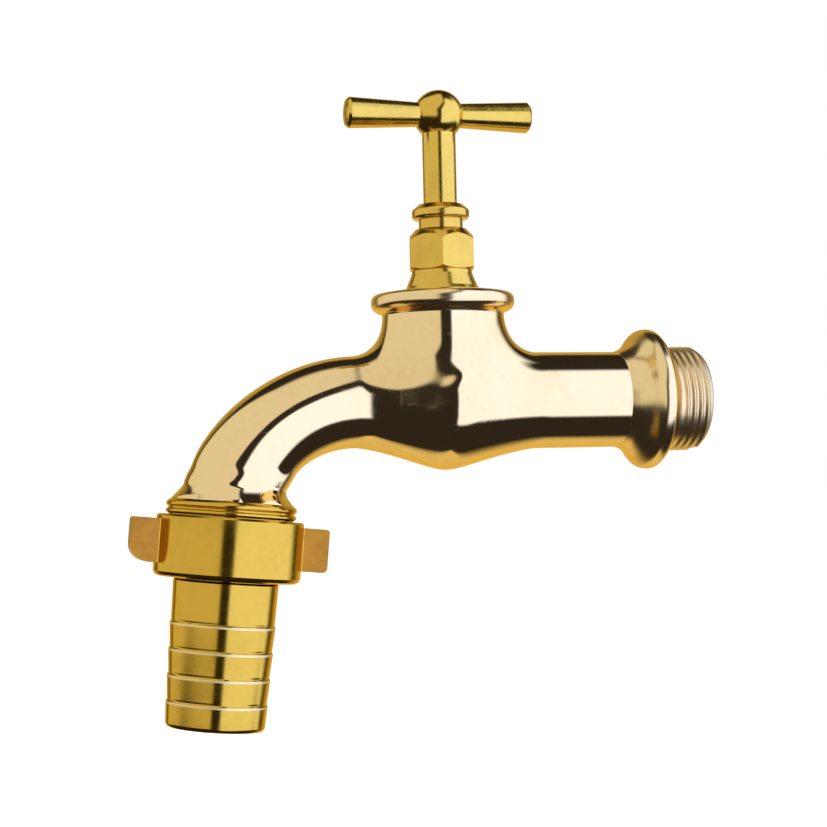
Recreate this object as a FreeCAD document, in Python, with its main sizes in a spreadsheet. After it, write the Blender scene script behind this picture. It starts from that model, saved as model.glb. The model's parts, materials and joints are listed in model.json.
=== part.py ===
import FreeCAD, Part
import math
import os

import Sketcher

# Hose bib: a brass screw-down tap with a hose union on its spout.
# Millimetres. +Z runs up along the spindle and +X towards the wall.
# The origin is the foot of the inlet thread, on the pipe axis, where the collar meets the wall fitting.
# Each piece is drawn about the point where the spindle axis meets the pipe axis ("the centre"),
# or, for the union pieces, about the outlet reference point on the tilted spout axis.

DIMENSIONS = {
    # body, from the centre along the pipe
    "inlet_reach": 67.0,
    "pipe_radius": 12.0,
    "inlet_bore": 9.0,
    "inlet_bore_end": 17.0,
    "thread_radius": 13.22,
    "thread_pitch": 1.814,
    "thread_depth": 1.0,
    "thread_start": 57.6,
    "end_chamfer": 1.4,
    "collar_radius": 17.7,
    "collar_start": 45.4,
    "collar_crest": 52.6,
    # body, the swollen middle of the pipe, before its corners are rounded
    "belly_radius": 17.4,
    "belly_left": 20.0,
    "belly_right": 21.0,
    "belly_round": 12.0,
    "belly_sweep": 24.0,
    # body, along the spindle axis
    "neck_radius": 15.0,
    "rim_radius": 17.7,
    "rim_bottom": 22.2,
    "rim_top": 26.6,
    "blend_radius": 8.0,
    "chamber_radius": 11.2,
    "chamber_floor": 1.5,
    "chamber_top": 14.0,
    "bonnet_bore": 12.0,
    "gasket_seat": 24.2,
    "gasket_recess": 13.6,
    "seat_bore": 6.5,
    "seat_top": 3.0,
    "seat_land": 1.6,
    "bowl_radius": 9.5,
    "bowl_depth": 14.2,
    "port_radius": 4.8,
    # spout
    "spout_radius": 11.2,
    "spout_bore": 8.2,
    "spout_straight": 22.4,
    "spout_bend": 34.4,
    "spout_drop_bend": 14.7,
    "outlet_tilt": 5.6,
    "outlet_reach": 54.1,
    "outlet_drop": 28.3,
    "outlet_bore": 9.0,
    "outlet_thread_radius": 15.65,
    "outlet_thread_pitch": 2.0,
    "outlet_thread_depth": 1.0,
    "outlet_flare_top": 8.8,
    "flare_blend": 3.0,
    "outlet_band_top": 4.0,
    "outlet_face": 7.0,
    # bonnet
    "bonnet_thread_radius": 11.9,
    "bonnet_thread_pitch": 1.5,
    "bonnet_thread_depth": 0.8,
    "bonnet_bottom": 14.2,
    "flange_bottom": 25.4,
    "flange_top": 27.0,
    "flange_radius": 13.3,
    "foot_radius": 9.7,
    "foot_top": 32.3,
    "foot_top_radius": 7.4,
    "hex_flats": 15.5,
    "hex_top": 42.5,
    "hex_turn": 16.0,
    "gland_bore": 6.0,
    "gland_floor": 31.5,
    "lift_bore": 5.6,
    "lift_bore_top": 30.6,
    # stem packing
    "packing_radius": 5.9,
    "packing_height": 1.8,
    "packing_washer_height": 0.8,
    "follower_height": 2.0,
    # gland nut
    "gland_thread_radius": 5.9,
    "gland_neck_radius": 5.45,
    "gland_head_radius": 7.1,
    "gland_head_bottom": 45.0,
    "gland_head_top": 47.3,
    "gland_top": 48.7,
    # spindle and handle
    "stem_radius": 4.15,
    "stem_clearance": 0.08,
    "stem_foot": 8.1,
    "stem_foot_radius": 4.6,
    "lift_thread_radius": 5.5,
    "lift_thread_bottom": 15.5,
    "lift_thread_top": 25.0,
    "lift_thread_pitch": 2.0,
    "lift_thread_depth": 0.9,
    "tang_flats": 5.6,
    "tang_top": 75.0,
    "handle_height": 71.1,
    "ball_radius": 6.25,
    "arm_reach": 23.7,
    "arm_root_radius": 2.95,
    "arm_tip_radius": 3.85,
    # jumper valve
    "disc_radius": 9.0,
    "disc_bottom": 5.05,
    "disc_height": 3.0,
    "guide_radius": 2.9,
    "guide_top": 18.0,
    "guide_bore": 3.0,
    "guide_bore_top": 19.2,
    "stud_radius": 2.0,
    "stud_bottom": 3.2,
    "seat_washer_radius": 8.4,
    "seat_washer_height": 2.0,
    "plate_radius": 5.0,
    "plate_height": 0.8,
    "jumper_nut_flats": 7.0,
    "jumper_nut_height": 3.2,
    "snap_ring_radius": 3.3,
    "snap_ring_bottom": 15.4,
    "snap_ring_height": 0.8,
    # hose union, along the tilted outlet axis
    "nut_radius": 17.6,
    "nut_top": 1.0,
    "nut_bottom": 13.7,
    "nut_bore": 15.95,
    "nut_shoulder": 11.6,
    "nut_throat": 12.95,
    "lug_reach": 23.6,
    "lug_top": 0.2,
    "lug_bottom": 10.6,
    "lug_width": 7.5,
    "lug_corner": 4.2,
    "union_gasket_height": 1.95,
    "union_gasket_bore": 10.2,
    "union_gasket_radius": 14.6,
    "tail_flange_radius": 14.8,
    "tail_flange_height": 2.45,
    "tail_neck_radius": 12.3,
    "land_start": 14.3,
    "tail_radius": 12.6,
    "tail_end_radius": 11.95,
    "tail_end": 48.9,
    "tail_bore": 9.8,
    "barb_start": 24.0,
    "barb_pitch": 6.2,
    "barb_step": 0.3,
}
BARB_COUNT = 4
NUT_LUG_SIDES = (-1, 1)

doc = FreeCAD.newDocument("hose_bib")
sheet = doc.addObject("Spreadsheet::Sheet", "dims")
for row, (alias, number) in enumerate(DIMENSIONS.items(), 1):
    sheet.set(f"A{row}", alias)
    sheet.set(f"B{row}", str(number))
    sheet.setAlias(f"B{row}", alias)
doc.recompute()


class Size:
    """A length that carries both its number and the sheet expression that gives it."""

    def __init__(self, value, text):
        self.value = value
        self.text = text

    def __add__(self, other):
        other = as_size(other)
        return Size(self.value + other.value, f"({self.text} + {other.text})")

    def __sub__(self, other):
        other = as_size(other)
        return Size(self.value - other.value, f"({self.text} - {other.text})")

    def __rsub__(self, other):
        return as_size(other) - self

    def __mul__(self, factor):
        return Size(self.value * factor, f"({self.text} * {factor})")

    def __neg__(self):
        return Size(-self.value, f"(-1 * {self.text})")


def as_size(length):
    return length if isinstance(length, Size) else Size(float(length), f"{float(length)}")


class Sheet:
    """Reads a driving dimension by its alias."""

    def __getattr__(self, alias):
        return Size(float(getattr(sheet, alias)), f"dims.{alias}")


D = Sheet()


# ---------------------------------------------------------------- drawing helpers

def new_body(label, x, z=0, tilt=None):
    """A body placed at x, z in the tap's frame, turned by tilt about Y."""
    body = doc.addObject("PartDesign::Body", label)
    body.Label = label
    x, z = as_size(x), as_size(z)
    angle = tilt.value if tilt else 0
    body.Placement = FreeCAD.Placement(FreeCAD.Vector(x.value, 0, z.value),
                                       FreeCAD.Rotation(FreeCAD.Vector(0, 1, 0), angle))
    body.setExpression("Placement.Base.x", x.text)
    body.setExpression("Placement.Base.z", z.text)
    if tilt:
        body.setExpression("Placement.Rotation.Angle", tilt.text)
    return body


def new_sketch(body, name, role="XZ_Plane", at=None, turn=None):
    """A sketch on one of the body's own planes, moved to the point at and turned in the plane."""
    sketch = body.newObject("Sketcher::SketchObject", name)
    plane = next(item for item in body.Origin.OriginFeatures if item.Role == role)
    sketch.AttachmentSupport = [(plane, "")]
    sketch.MapMode = "FlatFace"
    if at:
        x, y = as_size(at[0]), as_size(at[1])
        angle = turn.value if turn else 0
        sketch.AttachmentOffset = FreeCAD.Placement(
            FreeCAD.Vector(x.value, y.value, 0), FreeCAD.Rotation(FreeCAD.Vector(0, 0, 1), angle))
        sketch.setExpression("AttachmentOffset.Base.x", x.text)
        sketch.setExpression("AttachmentOffset.Base.y", y.text)
        if turn:
            sketch.setExpression("AttachmentOffset.Rotation.Angle", turn.text)
    return sketch


def bind(sketch, kind, *where, size):
    """A driving constraint of the given size."""
    index = sketch.addConstraint(Sketcher.Constraint(kind, *where, size.value))
    sketch.setExpression(f"Constraints[{index}]", size.text)


def draw_outline(sketch, points):
    """A closed outline of straight lines through points, each bound to the sheet."""
    corners = [(as_size(x), as_size(y)) for x, y in points]
    count = len(corners)
    vectors = [FreeCAD.Vector(x.value, y.value, 0) for x, y in corners]
    for number in range(count):
        sketch.addGeometry(Part.LineSegment(vectors[number], vectors[(number + 1) % count]))
    for number in range(count):
        sketch.addConstraint(
            Sketcher.Constraint("Coincident", number, 2, (number + 1) % count, 1))
    for number, (x, y) in enumerate(corners):
        bind(sketch, "DistanceX", -1, 1, number, 1, size=x)
        bind(sketch, "DistanceY", -1, 1, number, 1, size=y)


def revolve(body, name, points, axis="V_Axis", cut=False, at=None, turn=None):
    """Turns an outline about an axis of its sketch, to add metal or to cut it away."""
    sketch = new_sketch(body, f"{name}_outline", at=at, turn=turn)
    draw_outline(sketch, points)
    feature = body.newObject("PartDesign::Groove" if cut else "PartDesign::Revolution", name)
    feature.Profile = sketch
    feature.ReferenceAxis = (sketch, [axis])
    feature.Angle = 360
    doc.recompute()
    return feature


def rings_about(feature, rings, direction=(0, 0, 1), origin=(0, 0, 0), slack=0.02):
    """The names of the edges that run round a line at each (radius, place along it)."""
    start, along = FreeCAD.Vector(*origin), FreeCAD.Vector(*direction)
    names = []
    for number, edge in enumerate(feature.Shape.Edges, 1):
        first, last = edge.ParameterRange
        offsets = [edge.valueAt(first + (last - first) * part / 4) - start for part in range(5)]
        for radius, place in rings:
            on_ring = all(
                abs(offset.dot(along) - as_size(place).value) < slack
                and abs(offset.cross(along).Length - as_size(radius).value) < slack
                for offset in offsets)
            if on_ring:
                names.append(f"Edge{number}")
    return names


def soften(body, name, feature, edges, radius):
    """Rounds the named edges."""
    fillet = body.newObject("PartDesign::Fillet", name)
    fillet.Base = (feature, edges)
    fillet.Radius = as_size(radius).value
    fillet.setExpression("Radius", as_size(radius).text)
    doc.recompute()
    return fillet


def thread_grooves(radius, depth, pitch, start, count, step=1):
    """Outline points (radius, place) of V-shaped grooves cut into a cylinder, one per turn."""
    points = []
    for number in range(count):
        foot = start + pitch * (step * number)
        points.append((radius, foot + pitch * (0.08 * step)))
        points.append((radius - depth, foot + pitch * (0.46 * step)))
        points.append((radius - depth, foot + pitch * (0.54 * step)))
        points.append((radius, foot + pitch * (0.92 * step)))
    return points


def ring(label, bore, radius, bottom, height, x, tilt=None, z=0):
    """A plain turned ring."""
    body = new_body(label, x, z, tilt)
    revolve(body, f"{label}_ring", [(bore, bottom), (radius, bottom), (radius, bottom + height),
                                    (bore, bottom + height)])
    return body


# ---------------------------------------------------------------- body casting

def spout_path(body, name, start):
    """The spout's centreline: a straight run, two bends that tighten, and the outlet run."""
    tilt = math.radians(D.outlet_tilt.value)
    end = FreeCAD.Vector(-D.outlet_reach.value, -D.outlet_drop.value, 0)
    outlet_normal = FreeCAD.Vector(-math.cos(tilt), math.sin(tilt), 0)
    first, second = D.spout_bend.value, D.spout_drop_bend.value
    bend_start = FreeCAD.Vector(-D.spout_straight.value, 0, 0)
    first_centre = bend_start - FreeCAD.Vector(0, first, 0)
    # the second bend's centre lies inside the first bend and one radius from the outlet axis
    offset = outlet_normal.dot(end - first_centre) - second
    inner = first - second
    lean = math.asin(offset / inner)
    turn = lean - tilt
    direction = FreeCAD.Vector(-math.sin(turn), math.cos(turn), 0)
    second_centre = first_centre + direction * inner
    joint = first_centre + direction * first
    bend_end = second_centre + outlet_normal * second

    sketch = new_sketch(body, name)
    begin = FreeCAD.Vector(-start.value, 0, 0)
    up = FreeCAD.Vector(0, 0, 1)
    sketch.addGeometry(Part.LineSegment(begin, bend_start))
    sketch.addGeometry(Part.ArcOfCircle(Part.Circle(first_centre, up, first),
                                        math.pi / 2, math.pi / 2 + turn))
    sketch.addGeometry(Part.ArcOfCircle(Part.Circle(second_centre, up, second),
                                        math.pi / 2 + turn, math.pi - tilt))
    sketch.addGeometry(Part.LineSegment(bend_end, end))
    sketch.addConstraint(Sketcher.Constraint("Horizontal", 0))
    sketch.addConstraint(Sketcher.Constraint("Tangent", 0, 2, 1, 1))
    sketch.addConstraint(Sketcher.Constraint("Tangent", 1, 2, 2, 1))
    sketch.addConstraint(Sketcher.Constraint("Tangent", 2, 2, 3, 1))
    bind(sketch, "DistanceX", -1, 1, 0, 1, size=-start)
    bind(sketch, "DistanceY", -1, 1, 0, 1, size=as_size(0))
    bind(sketch, "DistanceX", -1, 1, 0, 2, size=-D.spout_straight)
    bind(sketch, "Radius", 1, size=D.spout_bend)
    bind(sketch, "Radius", 2, size=D.spout_drop_bend)
    bind(sketch, "DistanceX", -1, 1, 3, 2, size=-D.outlet_reach)
    bind(sketch, "DistanceY", -1, 1, 3, 2, size=-D.outlet_drop)
    return sketch


def spout_pipe(body, name, radius, start, cut=False):
    """A round pipe, or a round passage, along the spout."""
    path = spout_path(body, f"{name}_path", start)
    section = new_sketch(body, f"{name}_section", role="YZ_Plane", at=(0, 0))
    section.AttachmentOffset = FreeCAD.Placement(FreeCAD.Vector(0, 0, -start.value),
                                                 FreeCAD.Rotation())
    section.setExpression("AttachmentOffset.Base.z", (-start).text)
    section.addGeometry(Part.Circle(FreeCAD.Vector(0, 0, 0), FreeCAD.Vector(0, 0, 1),
                                    radius.value))
    section.addConstraint(Sketcher.Constraint("Coincident", 0, 3, -1, 1))
    bind(section, "Radius", 0, size=radius)
    kind = "PartDesign::SubtractivePipe" if cut else "PartDesign::AdditivePipe"
    pipe = body.newObject(kind, name)
    pipe.Profile = section
    pipe.Spine = path
    doc.recompute()
    return pipe


def neck_foot(feature):
    """The edges where the neck stands on the pipe and the spout."""
    names = []
    for number, edge in enumerate(feature.Shape.Edges, 1):
        first, last = edge.ParameterRange
        points = [edge.valueAt(first + (last - first) * part / 8) for part in range(9)]
        if all(abs(math.hypot(point.x, point.y) - D.neck_radius.value) < 0.02
               and 2 < point.z < D.rim_bottom.value - 2 for point in points):
            names.append(f"Edge{number}")
    return names


def make_body():
    body = new_body("body", -D.thread_start)
    turns = 4
    grooves = thread_grooves(D.thread_radius, D.thread_depth, D.thread_pitch,
                             D.thread_start + D.thread_pitch * 0.25, turns)
    collar = [
        (D.collar_start, D.pipe_radius),
        (D.collar_start + 3.2, D.pipe_radius + 1.4),
        (D.collar_crest - 1.9, D.collar_radius - 1.0),
        (D.collar_crest - 0.9, D.collar_radius - 0.2),
        (D.collar_crest, D.collar_radius),
        (D.collar_crest + 1.2, D.collar_radius - 0.1),
        (D.collar_crest + 2.2, D.collar_radius - 0.8),
        (D.thread_start - 0.4, D.thread_radius + 0.7),
        (D.thread_start, D.thread_radius)]
    thread = [(place, radius) for radius, place in grooves]
    pipe = revolve(body, "inlet_pipe", [
        (-D.belly_left, 0), (-D.belly_left, D.spout_radius), (0, D.belly_radius),
        (D.belly_right, D.pipe_radius)] + collar + thread + [
        (D.inlet_reach - D.end_chamfer, D.thread_radius),
        (D.inlet_reach, D.thread_radius - D.end_chamfer),
        (D.inlet_reach, 0)], axis="H_Axis")
    along_pipe = (1, 0, 0)
    crest = rings_about(pipe, [(D.belly_radius, 0)], along_pipe)
    crown = soften(body, "belly_round", pipe, crest, D.belly_round)
    wall_side = rings_about(crown, [(D.pipe_radius, D.belly_right)], along_pipe)
    soften(body, "belly_to_pipe", crown, wall_side, D.belly_sweep)
    spout = spout_pipe(body, "spout", D.spout_radius, as_size(5))
    spout_side = rings_about(spout, [(D.spout_radius, -D.belly_left)], along_pipe)
    soften(body, "belly_to_spout", spout, spout_side, D.belly_round)
    neck = revolve(body, "neck", [
        (0, 0), (D.neck_radius, 0), (D.neck_radius, D.rim_bottom),
        (D.rim_radius, D.rim_bottom), (D.rim_radius, D.rim_top), (0, D.rim_top)])
    soften(body, "neck_blend", neck, neck_foot(neck), D.blend_radius)

    outlet_turns = 3
    outlet_grooves = thread_grooves(
        D.outlet_thread_radius, D.outlet_thread_depth, D.outlet_thread_pitch,
        D.outlet_band_top - 3.0, outlet_turns, step=-1)
    outlet_at = (-D.outlet_reach, -D.outlet_drop)
    outlet = revolve(body, "outlet", [
        (0, D.outlet_flare_top), (D.spout_radius - 0.3, D.outlet_flare_top),
        (D.outlet_thread_radius - 0.6, D.outlet_band_top + 0.4),
        (D.outlet_thread_radius - 0.1, D.outlet_band_top),
        (D.outlet_thread_radius, D.outlet_band_top - 0.5)] + outlet_grooves + [
        (D.outlet_thread_radius, -D.outlet_face + 0.8),
        (D.outlet_thread_radius - 0.8, -D.outlet_face), (0, -D.outlet_face)],
        at=outlet_at, turn=-D.outlet_tilt)

    tilt = math.radians(D.outlet_tilt.value)
    flare_foot = rings_about(
        outlet, [(D.spout_radius, -D.outlet_flare_top + 0.3)],
        (-math.sin(tilt), 0, -math.cos(tilt)),
        (-D.outlet_reach.value, 0, -D.outlet_drop.value), slack=0.5)
    outlet = soften(body, "flare_blend", outlet, flare_foot, D.flare_blend)
    rim = [(D.rim_radius, D.rim_bottom), (D.rim_radius, D.rim_top)]
    soften(body, "rim_round", outlet, rings_about(outlet, rim), 2.1)

    revolve(body, "valve_chamber", [
        (0, -D.bowl_depth), (D.bowl_radius - 4.5, -D.bowl_depth),
        (D.bowl_radius, -D.bowl_depth + 4.0), (D.bowl_radius, -D.chamber_floor),
        (D.seat_bore, -D.chamber_floor), (D.seat_bore, D.seat_top),
        (D.seat_bore + D.seat_land, D.seat_top),
        (D.seat_bore + D.seat_land + 1.0, D.chamber_floor),
        (D.chamber_radius, D.chamber_floor), (D.chamber_radius, D.chamber_top),
        (D.bonnet_bore, D.chamber_top), (D.bonnet_bore, D.gasket_seat),
        (D.gasket_recess, D.gasket_seat), (D.gasket_recess, D.rim_top + 1.0),
        (0, D.rim_top + 1.0)], cut=True)
    revolve(body, "inlet_way", [
        (D.inlet_bore_end, 0), (D.inlet_bore_end, D.inlet_bore - 2.0),
        (D.inlet_bore_end + 2.0, D.inlet_bore), (D.inlet_reach - 0.8, D.inlet_bore),
        (D.inlet_reach, D.inlet_bore + 0.8), (D.inlet_reach + 1.0, D.inlet_bore + 0.8),
        (D.inlet_reach + 1.0, 0)], axis="H_Axis", cut=True)
    # the water goes down under the seat, up through it, and out over the bridge to the spout
    revolve(body, "lower_port", [
        (0, 0), (D.port_radius, 0), (D.port_radius, 14.0), (0, 14.0)],
        at=(as_size(5.5), as_size(-7.6)), turn=as_size(-69), cut=True)
    revolve(body, "upper_port", [
        (0, 0), (D.port_radius + 1.2, 0), (D.port_radius + 1.2, 17.0), (0, 17.0)],
        at=(as_size(-8.5), as_size(7.8)), turn=as_size(120), cut=True)
    spout_pipe(body, "spout_way", D.spout_bore, D.spout_straight - 1.0, cut=True)
    revolve(body, "outlet_mouth", [
        (0, 4.0), (D.spout_bore, 4.0), (D.outlet_bore, 2.0), (D.outlet_bore, -D.outlet_face - 1.0),
        (0, -D.outlet_face - 1.0)], at=outlet_at, turn=-D.outlet_tilt, cut=True)
    return body


# ---------------------------------------------------------------- headwork

def prism(body, name, sides, flats, bottom, top, turn=0, cut=False):
    """A prism of the given width over its flats, standing on the spindle axis."""
    kind = "PartDesign::SubtractivePrism" if cut else "PartDesign::AdditivePrism"
    feature = body.newObject(kind, name)
    across = 0.5 / math.cos(math.pi / sides)
    feature.Polygon = sides
    feature.setExpression("Circumradius", (flats * across).text)
    feature.setExpression("Height", (top - bottom).text)
    feature.Placement = FreeCAD.Placement(
        FreeCAD.Vector(0, 0, bottom.value),
        FreeCAD.Rotation(FreeCAD.Vector(0, 0, 1), as_size(turn).value))
    feature.setExpression("Placement.Base.z", bottom.text)
    doc.recompute()
    return feature


def make_bonnet():
    body = new_body("bonnet", -D.thread_start)
    turns = 6
    grooves = thread_grooves(D.bonnet_thread_radius, D.bonnet_thread_depth,
                             D.bonnet_thread_pitch, D.bonnet_bottom + 0.8, turns)
    revolve(body, "turned_outside", [
        (0, D.bonnet_bottom), (D.bonnet_thread_radius - 0.8, D.bonnet_bottom),
        (D.bonnet_thread_radius, D.bonnet_bottom + 0.8)] + grooves + [
        (D.bonnet_thread_radius, D.flange_bottom), (D.flange_radius, D.flange_bottom),
        (D.flange_radius, D.flange_top), (D.foot_radius, D.flange_top),
        (D.foot_radius - 0.9, D.flange_top + 1.3), (D.foot_top_radius + 0.2, D.foot_top - 1.0),
        (D.foot_top_radius, D.foot_top), (D.foot_top_radius, D.hex_top), (0, D.hex_top)])
    prism(body, "hexagon", 6, D.hex_flats, D.foot_top, D.hex_top, D.hex_turn)
    corner = D.hex_flats * 0.6
    top_flat = D.hex_flats * 0.41
    revolve(body, "hexagon_top_chamfer", [
        (top_flat, D.hex_top), (corner, D.hex_top - (corner - top_flat) * 1.1),
        (corner, D.hex_top)], cut=True)
    foot_flat = D.hex_flats * 0.49
    revolve(body, "hexagon_foot_chamfer", [
        (foot_flat, D.foot_top), (corner, D.foot_top),
        (corner, D.foot_top + (corner - foot_flat) * 0.5)], cut=True)
    revolve(body, "stem_bore", [
        (0, D.bonnet_bottom - 1.0), (D.lift_bore, D.bonnet_bottom - 1.0),
        (D.lift_bore, D.lift_bore_top), (D.stem_radius + D.stem_clearance, D.lift_bore_top),
        (D.stem_radius + D.stem_clearance, D.gland_floor), (D.gland_bore, D.gland_floor),
        (D.gland_bore, D.hex_top + 1.0), (0, D.hex_top + 1.0)], cut=True)
    return body


def make_stem_packing():
    """The gasket under the bonnet and the rings that seal the stem, bottom one first."""
    bore = D.stem_radius + D.stem_clearance
    axis_x = -D.thread_start
    ring("bonnet_gasket", D.bonnet_bore + 0.1, D.flange_radius + 0.1, D.gasket_seat,
         D.flange_bottom - D.gasket_seat, axis_x)
    level = D.gland_floor
    stack = (
        ("packing_washer", D.packing_washer_height),
        ("packing_ring_lower", D.packing_height),
        ("packing_ring_upper", D.packing_height),
        ("gland_follower", D.follower_height))
    for label, height in stack:
        ring(label, bore, D.packing_radius, level, height, axis_x)
        level = level + height
    return level


def make_gland_nut(bottom):
    body = new_body("gland_nut", -D.thread_start)
    nut = revolve(body, "turned", [
        (D.stem_radius + D.stem_clearance, bottom), (D.gland_thread_radius - 0.5, bottom),
        (D.gland_thread_radius, bottom + 0.5), (D.gland_thread_radius, D.hex_top - 0.4),
        (D.gland_neck_radius, D.hex_top), (D.gland_neck_radius, D.gland_head_bottom),
        (D.gland_head_radius, D.gland_head_bottom), (D.gland_head_radius, D.gland_head_top),
        (D.stem_radius + 1.3, D.gland_top), (D.stem_radius + D.stem_clearance, D.gland_top)])
    head = [(D.gland_head_radius, D.gland_head_bottom), (D.gland_head_radius, D.gland_head_top)]
    soften(body, "head_round", nut, rings_about(nut, head), 0.9)
    return body


def make_spindle():
    body = new_body("spindle", -D.thread_start)
    turns = 4
    grooves = thread_grooves(D.lift_thread_radius, D.lift_thread_depth, D.lift_thread_pitch,
                             D.lift_thread_bottom + 0.8, turns)
    revolve(body, "turned", [
        (0, D.stem_foot), (D.stem_foot_radius - 0.4, D.stem_foot),
        (D.stem_foot_radius, D.stem_foot + 0.4), (D.stem_foot_radius, D.lift_thread_bottom),
        (D.lift_thread_radius, D.lift_thread_bottom + 0.8)] + grooves + [
        (D.lift_thread_radius, D.lift_thread_top - 0.6), (D.stem_radius, D.lift_thread_top),
        (D.stem_radius, stem_shoulder()), (0, stem_shoulder())])
    prism(body, "tang", 4, D.tang_flats, stem_shoulder(), D.tang_top, turn=45)
    revolve(body, "guide_bore", [
        (0, D.stem_foot - 1.0), (D.guide_bore, D.stem_foot - 1.0),
        (D.guide_bore, D.snap_ring_bottom - 0.1),
        (D.snap_ring_radius + 0.05, D.snap_ring_bottom - 0.1),
        (D.snap_ring_radius + 0.05, D.snap_ring_bottom + D.snap_ring_height + 0.1),
        (D.guide_bore, D.snap_ring_bottom + D.snap_ring_height + 0.1),
        (D.guide_bore, D.guide_bore_top), (0, D.guide_bore_top + 1.2)], cut=True)
    return body


def stem_shoulder():
    """The height at which the ball is as narrow as the stem, where one sits on the other."""
    drop = math.sqrt(D.ball_radius.value ** 2 - D.stem_radius.value ** 2)
    return Size(D.handle_height.value - drop,
                "(dims.handle_height - sqrt(dims.ball_radius ^ 2 - dims.stem_radius ^ 2))")


def make_tee_handle():
    body = new_body("tee_handle", -D.thread_start)
    ball = body.newObject("PartDesign::AdditiveSphere", "ball")
    ball.setExpression("Radius", D.ball_radius.text)
    ball.setExpression("Placement.Base.z", D.handle_height.text)
    doc.recompute()
    half = [(D.arm_reach - 0.8, D.arm_tip_radius), (D.arm_reach - 0.15, D.arm_tip_radius - 0.6),
            (D.arm_reach + 0.15, D.arm_tip_radius - 2.0), (D.arm_reach + 0.3, 0)]
    mirrored = [(-x, radius) for x, radius in reversed(half)]
    revolve(body, "arms", mirrored + [(-D.ball_radius * 0.6, D.arm_root_radius),
                                      (D.ball_radius * 0.6, D.arm_root_radius)] + half,
            axis="H_Axis", at=(0, D.handle_height))
    revolve(body, "stem_seat", [
        (0, D.handle_height - D.ball_radius - 1.0),
        (D.stem_radius + 1.0, D.handle_height - D.ball_radius - 1.0),
        (D.stem_radius + 1.0, stem_shoulder()), (0, stem_shoulder())], cut=True)
    prism(body, "tang_socket", 4, D.tang_flats, stem_shoulder(), D.tang_top, turn=45, cut=True)
    return body


# ---------------------------------------------------------------- jumper valve

def make_jumper():
    body = new_body("jumper", -D.thread_start)
    disc_top = D.disc_bottom + D.disc_height
    groove_bottom = D.snap_ring_bottom - 0.1
    groove_top = D.snap_ring_bottom + D.snap_ring_height + 0.1
    disc = revolve(body, "turned", [
        (0, -D.stud_bottom), (D.stud_radius - 0.4, -D.stud_bottom),
        (D.stud_radius, -D.stud_bottom + 0.4), (D.stud_radius, D.disc_bottom),
        (D.disc_radius, D.disc_bottom), (D.disc_radius, disc_top),
        (D.guide_radius, disc_top), (D.guide_radius, groove_bottom),
        (D.guide_radius - 0.5, groove_bottom), (D.guide_radius - 0.5, groove_top),
        (D.guide_radius, groove_top), (D.guide_radius, D.guide_top - 0.5),
        (D.guide_radius - 0.5, D.guide_top), (0, D.guide_top)])
    rims = [(D.disc_radius, D.disc_bottom), (D.disc_radius, disc_top)]
    soften(body, "disc_round", disc, rings_about(disc, rims), 0.5)


def make_jumper_rings():
    """The rubber washer, its plate and its nut on the jumper stud, and the snap ring above."""
    axis_x = -D.thread_start
    washer_bottom = D.disc_bottom - D.seat_washer_height
    plate_bottom = washer_bottom - D.plate_height
    ring("seat_washer", D.stud_radius + 0.02, D.seat_washer_radius, washer_bottom,
         D.seat_washer_height, axis_x)
    ring("washer_plate", D.stud_radius + 0.05, D.plate_radius, plate_bottom, D.plate_height,
         axis_x)
    ring("jumper_snap_ring", D.guide_radius - 0.42, D.snap_ring_radius, D.snap_ring_bottom,
         D.snap_ring_height, axis_x)
    nut = new_body("jumper_nut", -D.thread_start)
    nut_bottom = plate_bottom - D.jumper_nut_height
    prism(nut, "hexagon", 6, D.jumper_nut_flats, nut_bottom, plate_bottom)
    revolve(nut, "stud_hole", [
        (0, nut_bottom - 1.0), (D.stud_radius, nut_bottom - 1.0),
        (D.stud_radius, plate_bottom + 1.0), (0, plate_bottom + 1.0)], cut=True)


# ---------------------------------------------------------------- hose union

def outlet_place():
    return {"x": -D.thread_start - D.outlet_reach, "z": -D.outlet_drop, "tilt": D.outlet_tilt}


def lug(body, side):
    """One of the nut's two lugs; the lug on the spout's outer side has a fuller lower corner."""
    name = "outer_lug" if side < 0 else "inner_lug"
    corner = D.lug_corner if side < 0 else D.lug_corner * 0.3
    sketch = new_sketch(body, f"{name}_outline")
    draw_outline(sketch, [
        (D.nut_bore * side, -D.lug_top), (D.lug_reach * side, -D.lug_top),
        (D.lug_reach * side, -D.lug_bottom), (D.nut_bore * side, -D.lug_bottom)])
    pad = body.newObject("PartDesign::Pad", name)
    pad.Profile = sketch
    pad.Midplane = True
    pad.Length = D.lug_width.value
    pad.setExpression("Length", D.lug_width.text)
    doc.recompute()

    def upright(edge, height):
        low, high = (vertex.Point for vertex in edge.Vertexes)
        across = abs(low.y - high.y) > D.lug_width.value * 0.9
        at_tip = abs(low.x - D.lug_reach.value * side) < 0.01
        return across and at_tip and abs(low.z - height) < 0.01

    lower = [f"Edge{number}" for number, edge in enumerate(pad.Shape.Edges, 1)
             if len(edge.Vertexes) == 2 and upright(edge, -D.lug_bottom.value)]
    rounded = soften(body, f"{name}_lower_round", pad, lower, corner)
    upper = [f"Edge{number}" for number, edge in enumerate(rounded.Shape.Edges, 1)
             if len(edge.Vertexes) == 2 and upright(edge, -D.lug_top.value)]
    return soften(body, f"{name}_upper_round", rounded, upper, 0.8)


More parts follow.
